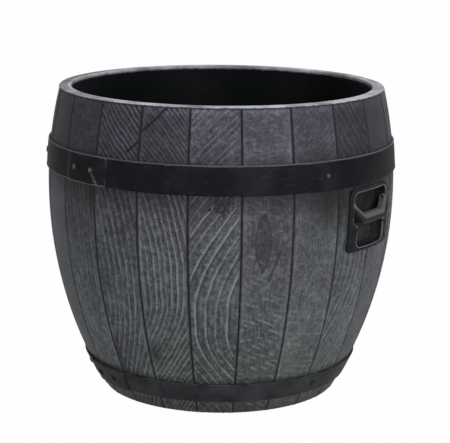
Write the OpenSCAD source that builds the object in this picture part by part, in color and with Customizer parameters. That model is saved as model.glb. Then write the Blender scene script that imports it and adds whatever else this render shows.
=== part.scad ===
// Coopered wooden barrel planter.
// Bowed staves are held by two riveted iron hoops and stand around a jointed head. A moulded liner
// hangs inside by a flange that covers the stave ends, and two drop handles swing on iron plates.
// Millimetres. +Z is up, the origin is the middle of the footprint, and the handles lie on +X and -X.

/* [Barrel] */
// Height from the ground to the top of the liner's flange
planter_h = 440; // [400:1:500]
// Greatest diameter over the staves, without the hoops
bilge_d = 503; // [460:1:560]
// Height of the greatest diameter
bilge_z = 296; // [260:1:310]
// Bend radius of a stave, seen from the side
bend_r = 590; // [560:5:760]

/* [Staves] */
// Number of staves
stave_n = 22; // [18:1:26]
// Thickness of a stave
stave_t = 14; // [12:0.5:17]
// Gap between neighbouring staves at the bilge
joint_gap = 0.2; // [0.1:0.05:0.6]
// Depth of the V that the eased edges of two staves make at their joint
joint_v = 1.6; // [0.8:0.1:2.4]
// How far the joint nearest the right handle is turned from the handle's middle, in degrees
joint_turn = 0; // [-4:0.1:4]
// Bevel inside the stave feet
chime_bevel = 6; // [3:0.5:8]

/* [Head] */
// Thickness of the head boards
head_t = 15; // [12:0.5:18]
// Number of head boards
board_n = 5; // [3:2:7]
// Gap between two head boards
board_gap = 0.4; // [0.2:0.1:1]
// Height of the lower wall of the croze, the groove that holds the head
croze_z = 36; // [30:1:46]
// Width of the croze
croze_w = 8; // [6:0.5:10]
// Depth of the croze
croze_depth = 4.5; // [3:0.5:6]
// Diameter of the dowels between the head boards
dowel_d = 8; // [6:0.5:9]
// Length of a dowel
dowel_l = 36; // [24:1:44]
// Distance of a dowel from the middle of the head
dowel_x = 58; // [48:1:66]
// Diameter of the drain hole in the middle of the head
drain_d = 25; // [18:1:30]
// Diameter of the four small drain holes
side_drain_d = 14; // [8:1:18]
// Distance of the small drain holes from the middle
side_drain_r = 84; // [80:1:90]

/* [Liner] */
// Wall thickness of the liner
liner_t = 2.5; // [2:0.25:4]
// Thickness of the liner's flange
flange_t = 3; // [2.5:0.25:5]
// How much wider the liner is at its mouth than at its floor, on the radius
liner_taper = 47; // [40:1:56]
// Bevel between the liner's wall and its floor
liner_bevel = 10; // [6:1:16]

/* [Hoops] */
// Thickness of the hoop iron
hoop_t = 2.5; // [2:0.25:4]
// Width of the upper hoop
upper_hoop_w = 40; // [30:1:50]
// Distance of the upper hoop from the rim
upper_hoop_drop = 74; // [66:1:84]
// Width of the lower hoop
lower_hoop_w = 33; // [26:1:40]
// Height of the lower hoop's lower edge
lower_hoop_rise = 20; // [14:1:30]
// Direction of the end of the upper hoop's lap, in degrees from the right handle
upper_lap_turn = -93; // [-110:0.5:-80]
// Direction of the end of the lower hoop's lap
lower_lap_turn = -98; // [-115:0.5:-85]
// Length of a lap
lap_l = 84; // [76:1:100]
// Distance of the first rivet from the end of its lap
rivet_inset = 26; // [18:1:30]
// Distance between the two rivets of a lap
rivet_step = 34; // [26:1:38]
// Diameter of a hoop rivet's shank
rivet_d = 5; // [4:0.5:6]
// Diameter of a hoop rivet's head
rivet_head_d = 10; // [8:0.5:12]
// Height of a hoop rivet's head
rivet_head_h = 2.2; // [1.5:0.1:3]
// Number of nails that hold each hoop
nail_n = 3; // [2:1:4]
// Direction of the first nail of the upper hoop
upper_nail_turn = -21; // [-30:0.5:-17]
// Direction of the first nail of the lower hoop
lower_nail_turn = -12.5; // [-20:0.5:-5]
// Diameter of a hoop nail's shank
nail_d = 3; // [2.5:0.25:4]
// Diameter of a hoop nail's head
nail_head_d = 9; // [7:0.5:11]
// Height of a hoop nail's head
nail_head_h = 1.4; // [1:0.1:2]
// Length of a hoop nail under its head
nail_l = 12; // [8:0.5:13]

/* [Handle plates] */
// Width of a handle plate
plate_w = 106; // [104:1:116]
// Height of a handle plate
plate_h = 89; // [86:1:96]
// Thickness of a handle plate
plate_t = 3; // [2.5:0.25:4]
// Gap between a handle plate and the upper hoop
plate_drop = 4; // [2:0.5:10]
// Radius of a plate's upper corners
plate_top_r = 16; // [10:1:18]
// Radius of a plate's lower corners
plate_foot_r = 7; // [4:1:12]
// Width of a plate's frame along its top and bottom
plate_rim = 6; // [5:0.5:8]
// Width of the frame beside the upper window
upper_stile_w = 8.5; // [8:0.5:9.5]
// Width of the frame beside the lower window
lower_stile_w = 18; // [16:0.5:22]
// Radius of the upper window's corners
upper_window_r = 12; // [6:1:14]
// Radius of the lower window's corners
lower_window_r = 9.5; // [6:0.5:10]
// Height of the lower window
lower_window_h = 28; // [24:0.5:30]
// Height of the rest, the cross bar in the cup that the hanging bail leans on
rest_h = 8; // [5:0.5:9]
// Depth of the rest
rest_t = 5; // [3:0.5:6]
// Depth of the finger cup behind the outer face of the staves
cup_depth = 20; // [17:0.5:24]
// Wall thickness of the finger cup
cup_t = 2.5; // [2:0.25:3]

/* [Handle bails] */
// Distance of the bail's pivots from the plate's top
pivot_drop = 24; // [22:0.5:26]
// How far the bail's bar stands out from the staves
bail_out = 7; // [6:0.5:9]
// Depth of the bail's bar from back to front
bail_t = 9; // [8:0.5:10]
// Length of the straight part of the bail's bar
bail_flat = 50; // [44:1:56]
// Height of the bail's bar at its back
bar_h = 12.5; // [10:0.5:14]
// How much lower the bar's front edge is than its back edge
bar_slope = 5.5; // [3:0.5:7]
// Diameter of a bail's eye
eye_d = 9; // [8.5:0.5:10]
// Width of a bail's eye, along its pin
eye_w = 5; // [4:0.5:6]
// Diameter of the pivot pins
pin_d = 5; // [4:0.25:5.5]
// Diameter of the plate screws' shanks
screw_d = 4; // [3:0.25:5]
// Diameter of the plate screws' heads
screw_head_d = 8; // [6.5:0.5:9]
// Length of the plate screws under the plate
screw_l = 10; // [7:0.5:11]
// Distance of the plate screws from the outer edge of the plate
screw_inset = 8; // [7:0.5:10]
// Height of the lower screws above the foot of the plate
screw_rise = 10; // [8:0.5:12]
// Distance between the lower and the upper screws
screw_step = 18; // [14:0.5:20]

/* [Hidden] */
$fn = 180;

// Clearances
seat = 0.05;         // between an iron piece and the curved face that it is bent to
liner_play = 0.5;    // between the liner and what stands around it
croze_play = 0.15;   // above and below the tongue of the head
head_play = 0.5;     // between the rim of the head and the bottom of the croze
dowel_play = 0.05;   // around a dowel
fastener_play = 0.05; // around a rivet, a nail or a screw
pin_play = 0.08;     // around a pivot pin inside an eye
wall_play = 0.02;    // around a pivot pin inside the wall of the cup
bail_play = 0.5;     // beside the eyes of a bail
rest_play = 0.3;     // between a hanging bail and its rest
cup_play = 0.5;      // between a finger cup and the hole in the staves around it
drain_play = 1.5;    // how much wider a drain hole is in the liner than in the head, on the radius
over = 1;            // how far a cut runs past the face that it opens
turn_over = 1;       // the same for a cut that is turned around an axis, in degrees

// Barrel
stave_h = planter_h - flange_t;
centre_r = bilge_d / 2 - bend_r;
stave_pitch = 360 / stave_n;
gap_angle = joint_gap / (bilge_d / 2) * 180 / PI;

// Head and liner
croze_mid = croze_z + croze_w / 2;
croze_r = bilge_r(croze_mid, stave_t - croze_depth);
head_r = croze_r - head_play;
head_bottom = croze_mid - head_t / 2;
head_top = croze_mid + head_t / 2;
head_face_r = bilge_r(min(head_bottom, croze_z), stave_t) - 2 * head_play;
head_bevel = 8;
head_board_w = 2 * head_r / board_n;
liner_floor_z = head_top + liner_play;
liner_mouth_r = bilge_r(stave_h, stave_t) - liner_play;
liner_floor_r = liner_mouth_r - liner_taper;
flange_r = bilge_r(stave_h) - liner_play / 2;

// Hoops
upper_hoop_z = planter_h - upper_hoop_drop - upper_hoop_w / 2;
lower_hoop_z = lower_hoop_rise + lower_hoop_w / 2;
lap_ramp = 12;       // length of the slope on which a hoop climbs onto its own end
nail_turns = [for (k = [0 : nail_n - 1]) k * 360 / nail_n];

// Handles, seen square on: y runs across the plate and z is the true height
plate_top = planter_h - upper_hoop_drop - upper_hoop_w - plate_drop;
plate_foot = plate_top - plate_h;
plate_face_r = bilge_d / 2 + seat + plate_t;
lower_window_top = plate_foot + plate_rim + lower_window_h;
upper_window_foot = lower_window_top + cup_t;
upper_window_foot_r = 2;
upper_window_top = plate_top - plate_rim;
upper_window_w = plate_w - 2 * upper_stile_w;
lower_window_w = plate_w - 2 * lower_stile_w;
bail_half_w = upper_window_w / 2 - bail_play;
eye_in = bail_half_w - eye_w;
pin_out = upper_window_w / 2 + cup_t;
pivot_z = plate_top - pivot_drop;
pivot_x = sqrt(pow(plate_face_r, 2) - pow(bail_half_w, 2)) - eye_d / 2;
bar_front = bilge_d / 2 + bail_out;
bar_back = bar_front - bail_t;
rest_lap = 2;        // how far the bar's foot hangs below the top of its rest
bar_foot = lower_window_top + rest_h - rest_lap;
bar_top = bar_foot + bar_h;
arm_lean = atan((pivot_z - bar_top) / (eye_in - bail_flat / 2));
screw_turn = asin((plate_w / 2 - screw_inset) / (bilge_d / 2));
screw_rows = [plate_foot + screw_rise, plate_foot + screw_rise + screw_step];
handle_half_angle = asin(plate_w / bilge_d) + 2 * turn_over;

stave_colour = "#4c4d54";
hoop_colour = "#26272a";
iron_colour = "#2b2c2f";
liner_colour = "#15171b";
head_colour = "#6d5a45";
dowel_colour = "#a98a62";
sides = ["right", "left"];

function stave_name(i) = str("stave_", i < 10 ? "0" : "", i);
function joint_angle(i) = joint_turn + (i - 1) * stave_pitch;
// Radius of the barrel at height z, `inset` below the outer face of the staves
function bilge_r(z, inset = 0) = centre_r + sqrt(pow(bend_r - inset, 2) - pow(z - bilge_z, 2));
// Slope of the outer face at height z, in degrees from upright
function bilge_tilt(z) = asin((z - bilge_z) / bend_r);
// Angle that a length l takes up along the outer face at height z
function arc_angle(l, z) = l / bilge_r(z) * 180 / PI;
// Smallest angle between two directions
function apart(a, b) = abs(((a - b) % 360 + 540) % 360 - 180);

// Puts children on the outer face, with their x axis square to it
module on_bilge(turn, z) {
    rotate([0, 0, turn]) translate([centre_r, 0, bilge_z]) rotate([0, -bilge_tilt(z), 0])
        translate([bend_r, 0, 0]) children();
}

// Section of a band bent to the barrel: from `lift` to `lift + t` off the outer face, between two heights
module band_section(lift, t, z0, z1) {
    far = 2 * bend_r;
    a0 = bilge_tilt(z0);
    a1 = bilge_tilt(z1);
    translate([centre_r, bilge_z]) intersection() {
        difference() {
            circle(r = bend_r + lift + t);
            circle(r = bend_r + lift);
        }
        polygon([[0, 0], [far * cos(a0), far * sin(a0)], [far * cos(a1), far * sin(a1)]]);
    }
}

// Rectangle around [0, 0] with one radius for its upper corners and one for its lower corners
module rounded_rect(w, h, top_r, foot_r) {
    difference() {
        square([w, h], center = true);
        for (side = [-1, 1]) {
            corner_cut(side * w / 2, h / 2, -side, -1, top_r);
            corner_cut(side * w / 2, -h / 2, -side, 1, foot_r);
        }
    }
}

// What rounding takes off one corner; dx and dy point from the corner to the inside
module corner_cut(x, y, dx, dy, r) {
    difference() {
        translate([x + dx * (r - over) / 2, y + dy * (r - over) / 2]) square(r + over, center = true);
        translate([x + dx * r, y + dy * r]) circle(r = r);
    }
}

// Extrudes a drawing of the plate, made in y and z, through the wall of the barrel on +X
module through_wall(x0, x1) {
    translate([x0, 0, 0]) rotate([90, 0, 90]) linear_extrude(x1 - x0) children();
}

// Staves ---------------------------------------------------------------------------------------

module stave_section() {
    difference() {
        intersection() {
            translate([centre_r, bilge_z]) difference() {
                circle(r = bend_r);
                circle(r = bend_r - stave_t);
            }
            square([bilge_d, stave_h]);
        }
        translate([croze_r - bilge_d / 2, croze_z]) square([bilge_d / 2, croze_w]);
        chime();
    }
}

module chime() {
    inner_r = bilge_r(0, stave_t);
    polygon([[inner_r - over, -over], [inner_r + chime_bevel, -over], [inner_r + chime_bevel, 0],
        [inner_r, 2 * chime_bevel], [inner_r - over, 2 * chime_bevel]]);
}

// The V along a joint: a thin ring sector that follows the bend of the staves
module joint_v_cut(turn) {
    low = bilge_tilt(0) - turn_over;
    high = bilge_tilt(stave_h) + turn_over;
    rotate([0, 0, turn]) translate([centre_r, 0, bilge_z]) rotate([90, 0, 0]) rotate([0, 0, low])
        rotate_extrude(angle = high - low)
            translate([bend_r, 0]) rotate(45) square(joint_v * sqrt(2), center = true);
}

module stave(i) {
    start = joint_angle(i) + gap_angle / 2;
    middle = joint_angle(i) + stave_pitch / 2;
    reach = stave_pitch / 2 + turn_over;
    color(stave_colour) difference() {
        rotate([0, 0, start]) rotate_extrude(angle = stave_pitch - gap_angle) stave_section();
        joint_v_cut(joint_angle(i));
        joint_v_cut(joint_angle(i + 1));
        for (turn = nail_turns) {
            if (apart(middle, turn + upper_nail_turn) < reach)
                nail_hole(turn + upper_nail_turn, upper_hoop_z);
            if (apart(middle, turn + lower_nail_turn) < reach)
                nail_hole(turn + lower_nail_turn, lower_hoop_z);
        }
        for (handle = [0, 180])
            if (apart(middle, handle) < stave_pitch / 2 + handle_half_angle)
                rotate([0, 0, handle]) handle_seat();
    }
}

// What a handle takes out of the staves: the hole for its finger cup and holes for four screws
module handle_seat() {
    through_wall(0, bilge_d) cup_outline(cup_t + cup_play);
    for (z = screw_rows) for (side = [-1, 1]) on_bilge(side * screw_turn, z)
        rotate([0, 90, 0]) translate([0, 0, -screw_l - fastener_play])
            cylinder(r = screw_d / 2 + fastener_play, h = screw_l + 2 * over);
}

// Hoops ----------------------------------------------------------------------------------------

module hoop(z, w, lap_turn, nail_turn) {
    color(hoop_colour) difference() {
        union() {
            rotate_extrude() band_section(seat, hoop_t, z - w / 2, z + w / 2);
            difference() {
                rotate([0, 0, lap_turn - arc_angle(lap_l, z)]) rotate_extrude(angle = arc_angle(lap_l, z))
                    band_section(seat + hoop_t / 2, 1.5 * hoop_t, z - w / 2, z + w / 2);
                lap_ramp_cut(z, w, lap_turn - arc_angle(lap_l, z));
            }
        }
        for (k = [0, 1]) on_bilge(rivet_turn(lap_turn, k, z), z) rotate([0, 90, 0])
            translate([0, 0, -over]) cylinder(r = rivet_d / 2 + fastener_play, h = 2 * hoop_t + 3 * over);
        for (turn = nail_turns) nail_hole(turn + nail_turn, z);
    }
}

function rivet_turn(lap_turn, k, z) = lap_turn - arc_angle(rivet_inset + k * rivet_step, z);

// The hoop climbs onto its own end over the length of this ramp
module lap_ramp_cut(z, w, turn) {
    on_bilge(turn, z) translate([seat + hoop_t, 0, 0]) rotate([0, 0, -atan(hoop_t / lap_ramp)])
        translate([0, -lap_ramp, -w]) cube([4 * hoop_t, 3 * lap_ramp, 2 * w]);
}

module hoop_rivets(z, lap_turn) {
    color(hoop_colour) for (k = [0, 1]) on_bilge(rivet_turn(lap_turn, k, z), z)
        translate([2 * hoop_t + 2 * seat, 0, 0]) stud(rivet_d, 2 * hoop_t + seat, rivet_head_d, rivet_head_h);
}

module hoop_nails(z, nail_turn) {
    color(iron_colour) for (turn = nail_turns) on_bilge(turn + nail_turn, z)
        translate([hoop_t + 2 * seat, 0, 0]) stud(nail_d, nail_l, nail_head_d, nail_head_h);
}

// A round shank that runs back along x, under a head that is the cap of a sphere
module stud(shank_d, shank_l, head_d, head_h) {
    ball_r = (pow(head_d / 2, 2) + pow(head_h, 2)) / (2 * head_h);
    rotate([0, 90, 0]) rotate_extrude() {
        translate([0, -shank_l]) square([shank_d / 2, shank_l + head_h / 2]);
        intersection() {
            translate([0, head_h - ball_r]) circle(r = ball_r);
            square(head_d);
        }
    }
}

module nail_hole(turn, z) {
    on_bilge(turn, z) rotate([0, 90, 0]) translate([0, 0, seat + hoop_t - nail_l - fastener_play])
        cylinder(r = nail_d / 2 + fastener_play, h = nail_l + over);
}

// Head -----------------------------------------------------------------------------------------

module head_disc() {
    rotate_extrude() polygon([
        [0, head_bottom], [head_face_r - head_bevel, head_bottom],
        [head_face_r, croze_z + croze_play], [head_r, croze_z + croze_play],
        [head_r, croze_z + croze_w - croze_play], [head_face_r, croze_z + croze_w - croze_play],
        [head_face_r - head_bevel, head_top], [0, head_top]]);
}

module head_board(i) {
    low = -head_r + (i - 1) * head_board_w + board_gap / 2;
    color(head_colour) difference() {
        intersection() {
            head_disc();
            translate([-bilge_d / 2, low, 0]) cube([bilge_d, head_board_w - board_gap, planter_h]);
        }
        drain_holes(0);
        dowels(dowel_d / 2 + dowel_play, dowel_l + 2 * board_gap);
    }
}

module drain_holes(extra) {
    drain_hole(0, 0, drain_d / 2 + extra);
    for (turn = [0 : 90 : 270]) rotate([0, 0, turn]) drain_hole(side_drain_r, 0, side_drain_d / 2 + extra);
}

module drain_hole(x, y, r) {
    translate([x, y, head_bottom - over]) cylinder(r = r, h = head_t + liner_play + liner_t + 2 * over);
}

module dowels(r, l) {
    for (i = [1 : board_n - 1]) for (side = [-1, 1])
        translate([side * dowel_x, -head_r + i * head_board_w, croze_mid]) rotate([90, 0, 0])
            cylinder(r = r, h = l, center = true);
}

module head_dowels() {
    color(dowel_colour) dowels(dowel_d / 2, dowel_l);
}

// Liner ----------------------------------------------------------------------------------------

// Outline of the liner's cup, `inset` inside its outer face
module liner_outline(inset, top) {
    slope = liner_taper / (stave_h - liner_floor_z);
    floor_z = liner_floor_z + inset;
    floor_r = liner_floor_r - inset + inset * slope;
    polygon([[0, floor_z], [floor_r - liner_bevel, floor_z],
        [floor_r + liner_bevel * slope, floor_z + liner_bevel],
        [floor_r + (top - floor_z) * slope, top], [0, top]]);
}

module liner() {
    color(liner_colour) difference() {
        rotate_extrude() difference() {
            union() {
                liner_outline(0, stave_h + flange_t / 2);
                translate([0, stave_h]) square([flange_r - flange_t / 2, flange_t]);
                translate([flange_r - flange_t / 2, stave_h + flange_t / 2]) circle(r = flange_t / 2);
            }
            liner_outline(liner_t, planter_h + over);
        }
        drain_holes(drain_play);
    }
}

// Handles --------------------------------------------------------------------------------------

// Outline of the opening in the plate and of the finger cup behind it, made larger by `grow`
module cup_outline(grow) {
    upper_h = upper_window_top - upper_window_foot;
    translate([0, upper_window_foot + upper_h / 2])
        rounded_rect(upper_window_w + 2 * grow, upper_h + 2 * grow,
            upper_window_r + grow, upper_window_foot_r + grow);
    translate([0, lower_window_top - lower_window_h / 2])
        rounded_rect(lower_window_w + 2 * grow, lower_window_h + 2 * grow,
            lower_window_r + grow, lower_window_r + grow);
    translate([-lower_window_w / 2 - grow, lower_window_top - lower_window_h / 2])
        square([lower_window_w + 2 * grow, lower_window_h / 2 + upper_h / 2]);
}

// A shell bent to the barrel around +X: from `lift` to `lift + t` off the staves
module bent_plate(lift, t) {
    rotate([0, 0, -handle_half_angle]) rotate_extrude(angle = 2 * handle_half_angle)
        band_section(lift, t, plate_foot - plate_rim, plate_top + plate_rim);
}

module handle_plate() {
    color(iron_colour) {
        difference() {
            union() {
                intersection() {
                    bent_plate(seat, plate_t);
                    through_wall(0, bilge_d) translate([0, plate_foot + plate_h / 2])
                        rounded_rect(plate_w, plate_h, plate_top_r, plate_foot_r);
                }
                intersection() {
                    bent_plate(-cup_depth, cup_depth + plate_t / 2);
                    through_wall(0, bilge_d) cup_outline(cup_t);
                }
            }
            intersection() {
                bent_plate(cup_t - cup_depth, cup_depth + plate_t);
                through_wall(0, bilge_d) cup_outline(0);
            }
            for (side = [-1, 1]) {
                translate([pivot_x, side * pin_out, pivot_z]) rotate([90, 0, 0])
                    cylinder(r = pin_d / 2 + wall_play, h = 2 * cup_t + over, center = true);
                for (z = screw_rows) on_bilge(side * screw_turn, z) translate([seat, 0, 0])
                    screw_body(fastener_play);
            }
        }
        translate([bar_back - rest_play - rest_t, -(upper_window_w + cup_t) / 2, lower_window_top])
            cube([rest_t, upper_window_w + cup_t, rest_h]);
    }
}

// The bail seen square on: two arms lean out from a straight bar up to the eyes
module bail_front_outline() {
    elbow = bail_flat / 2 + eye_w;
    polygon([
        [bail_half_w, pivot_z], [bail_half_w, pivot_z - eye_d], [elbow, bar_foot],
        [-elbow, bar_foot], [-bail_half_w, pivot_z - eye_d], [-bail_half_w, pivot_z],
        [-eye_in, pivot_z], [-bail_flat / 2, bar_top], [bail_flat / 2, bar_top], [eye_in, pivot_z]]);
}

// The bail seen from its end: it leans out of the cup from the pivot down to the bar
module bail_side_outline() {
    translate([pivot_x, pivot_z]) circle(d = eye_d);
    polygon([
        [pivot_x - eye_d / 2, pivot_z], [bar_back, bar_foot + bar_h / 2], [bar_back, bar_foot],
        [bar_front, bar_foot], [bar_front, bar_top - bar_slope], [pivot_x + eye_d / 2, pivot_z]]);
}

// What the bevel along the upper front edge of the bar and of both arms takes away
module bail_bevel() {
    intersection_for (side = [-1, 0, 1])
        translate([bar_back, side * bail_flat / 2, bar_top]) rotate([side * arm_lean, 0, 0])
            rotate([0, atan(bar_slope / bail_t), 0])
                translate([0, -bail_half_w, 0]) cube([2 * bail_t, 2 * bail_half_w, bail_half_w]);
}

module handle_bail() {
    color(iron_colour) difference() {
        union() {
            difference() {
                intersection() {
                    through_wall(0, bilge_d) bail_front_outline();
                    rotate([90, 0, 0]) linear_extrude(bilge_d, center = true) bail_side_outline();
                }
                bail_bevel();
            }
            for (side = [-1, 1]) translate([pivot_x, side * (bail_half_w - eye_w / 2), pivot_z])
                rotate([90, 0, 0]) cylinder(d = eye_d, h = eye_w, center = true);
        }
        translate([pivot_x, 0, pivot_z]) rotate([90, 0, 0])
            cylinder(r = pin_d / 2 + pin_play, h = 2 * bail_half_w + 2 * over, center = true);
    }
}

module handle_pins() {
    color(iron_colour) for (side = [-1, 1])
        translate([pivot_x, side * (eye_in + pin_out) / 2, pivot_z]) rotate([90, 0, 0])
            cylinder(r = pin_d / 2, h = pin_out - eye_in, center = true);
}

// A countersunk screw through the plate, along x, `play` larger than its nominal size
module screw_body(play) {
    cone_h = (screw_head_d - screw_d) / 2;
    rotate([0, 90, 0]) {
        translate([0, 0, -screw_l]) cylinder(r = screw_d / 2 + play, h = screw_l + plate_t);
        translate([0, 0, plate_t - cone_h])
            cylinder(r1 = screw_d / 2 + play, r2 = screw_head_d / 2 + play, h = cone_h);
        if (play > 0) translate([0, 0, plate_t]) cylinder(r = screw_head_d / 2 + play, h = over);
    }
}

module handle_screws() {
    slot_w = screw_head_d / 8;
    color(iron_colour) for (side = [-1, 1]) for (z = screw_rows) on_bilge(side * screw_turn, z)
        translate([seat, 0, 0]) difference() {
            screw_body(0);
            translate([plate_t - slot_w, -screw_head_d, -slot_w / 2])
                cube([2 * slot_w, 2 * screw_head_d, slot_w]);
        }
}

// What is drawn --------------------------------------------------------------------------------

for (i = [1 : stave_n])
    stave(i);
hoop(upper_hoop_z, upper_hoop_w, upper_lap_turn, upper_nail_turn);  // upper_hoop
hoop_rivets(upper_hoop_z, upper_lap_turn);  // upper_hoop_rivets
hoop_nails(upper_hoop_z, upper_nail_turn);  // upper_hoop_nails
hoop(lower_hoop_z, lower_hoop_w, lower_lap_turn, lower_nail_turn);  // lower_hoop
hoop_rivets(lower_hoop_z, lower_lap_turn);  // lower_hoop_rivets
hoop_nails(lower_hoop_z, lower_nail_turn);  // lower_hoop_nails
for (i = [1 : board_n])
    head_board(i);
head_dowels();
liner();
for (k = [0, 1]) rotate([0, 0, k * 180]) {
    handle_plate();
    handle_bail();
    handle_pins();
    handle_screws();
}
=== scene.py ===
# %% [markdown]
# # A coopered barrel planter
#
# The planter stands 440 mm high. Twenty-two bowed staves, stained grey-black and rubbed pale on their
# raised grain, are held by two black iron hoops. A moulded liner hangs inside, and its flange covers the
# stave ends. Two cast handles sit in the staves, each with a drop bail.
#
# The solids come from a measured model, loaded here as a fixed frame. Each piece below is either one of
# those solids with a better finish, or a finer mesh that stands for one. The trees that make meshes
# count in millimetres, as a cooper would, and turn them into metres, Blender's own unit, in their last
# step. Materials read where a point lies in metres.

# %% Load the measured frame
import math
import random

import bmesh
import bpy
import numpy as np
from mathutils import Matrix, Vector


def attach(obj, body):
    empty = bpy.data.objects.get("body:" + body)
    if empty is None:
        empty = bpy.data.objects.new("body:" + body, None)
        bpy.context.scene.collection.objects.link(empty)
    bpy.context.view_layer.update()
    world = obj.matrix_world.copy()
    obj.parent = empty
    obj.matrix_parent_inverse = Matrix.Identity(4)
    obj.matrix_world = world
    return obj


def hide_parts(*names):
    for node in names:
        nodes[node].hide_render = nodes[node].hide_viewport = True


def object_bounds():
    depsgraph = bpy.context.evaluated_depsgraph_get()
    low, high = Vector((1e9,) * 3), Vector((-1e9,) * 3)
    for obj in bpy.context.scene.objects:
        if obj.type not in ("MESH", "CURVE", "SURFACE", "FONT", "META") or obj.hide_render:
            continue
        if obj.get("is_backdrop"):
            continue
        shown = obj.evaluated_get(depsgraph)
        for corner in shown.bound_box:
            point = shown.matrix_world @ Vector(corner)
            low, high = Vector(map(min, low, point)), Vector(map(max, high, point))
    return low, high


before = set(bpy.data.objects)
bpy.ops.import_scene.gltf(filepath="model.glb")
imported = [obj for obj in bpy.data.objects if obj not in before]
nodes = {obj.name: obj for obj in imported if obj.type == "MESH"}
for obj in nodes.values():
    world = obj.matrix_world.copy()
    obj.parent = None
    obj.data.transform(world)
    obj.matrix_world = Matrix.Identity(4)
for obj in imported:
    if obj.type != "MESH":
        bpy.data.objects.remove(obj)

MM = 0.001
cad_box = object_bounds()
scene = bpy.context.scene

# %% [markdown]
# ## The barrel's one rule
#
# A stave is bent to an arc of 590 mm radius, and the arcs of all the staves share one centre height. So
# the barrel's radius at any height follows from one circle, and every later piece that lies on the
# barrel, a hoop or a nail, follows the same rule.

# %% The barrel's sizes
STAVES = 22
PITCH = 360 / STAVES
STAVE_H, STAVE_T = 437, 14
BILGE_R, BILGE_Z, BEND_R = 251.5, 296, 590
CENTRE_R = BILGE_R - BEND_R
UPPER_HOOP_Z, LOWER_HOOP_Z = 346, 36.5
# The gap that keeps two pieces from sharing a face
SEAT = 0.05
DEGREE = math.radians(1)


def bilge_r(z):
    """Radius of the barrel's outer face at height z."""
    return CENTRE_R + math.sqrt(BEND_R**2 - (z - BILGE_Z) ** 2)


def degrees_along(length, z):
    """The angle that a length takes up around the barrel at height z."""
    return math.degrees(length / bilge_r(z))


print("radius at the foot, bilge and rim:", [round(bilge_r(z), 1) for z in (0, BILGE_Z, STAVE_H)])

# %% [markdown]
# ## Node maths written as sums
#
# Blender's node trees do their maths in boxes and wires, which grow unreadable fast. One small class
# wraps an output socket, so that `ridge * 0.5 + 0.2` adds the two Math nodes by itself, and
# `row < 3` gives 1 or 0. It serves geometry trees and materials alike. Any other node comes from one
# method, `node`, and the few that come back often have a short name of their own.


# %% A socket that can be added and multiplied
def joined(operation, turned=False):
    """A method that joins a Value and another item by a Math node, in their order or turned round."""

    def method(self, other):
        items = (other, self) if turned else (self, other)
        return self.graph.maths(operation, *items)

    return method


class Value:
    """One output socket of a node, used like a number."""

    def __init__(self, graph, socket):
        self.graph, self.socket = graph, socket

    def other(self, name):
        """Another output of the same node."""
        return Value(self.graph, self.socket.node.outputs[name])

    # The second of each pair is for a plain number on the left, as in 1 - mask
    __add__, __radd__ = joined("ADD"), joined("ADD", turned=True)
    __sub__, __rsub__ = joined("SUBTRACT"), joined("SUBTRACT", turned=True)
    __mul__, __rmul__ = joined("MULTIPLY"), joined("MULTIPLY", turned=True)
    __truediv__, __rtruediv__ = joined("DIVIDE"), joined("DIVIDE", turned=True)
    __lt__, __gt__ = joined("LESS_THAN"), joined("GREATER_THAN")

    def __abs__(self):
        return self.graph.maths("ABSOLUTE", self)


print("sockets can be added, multiplied and compared")


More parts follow.
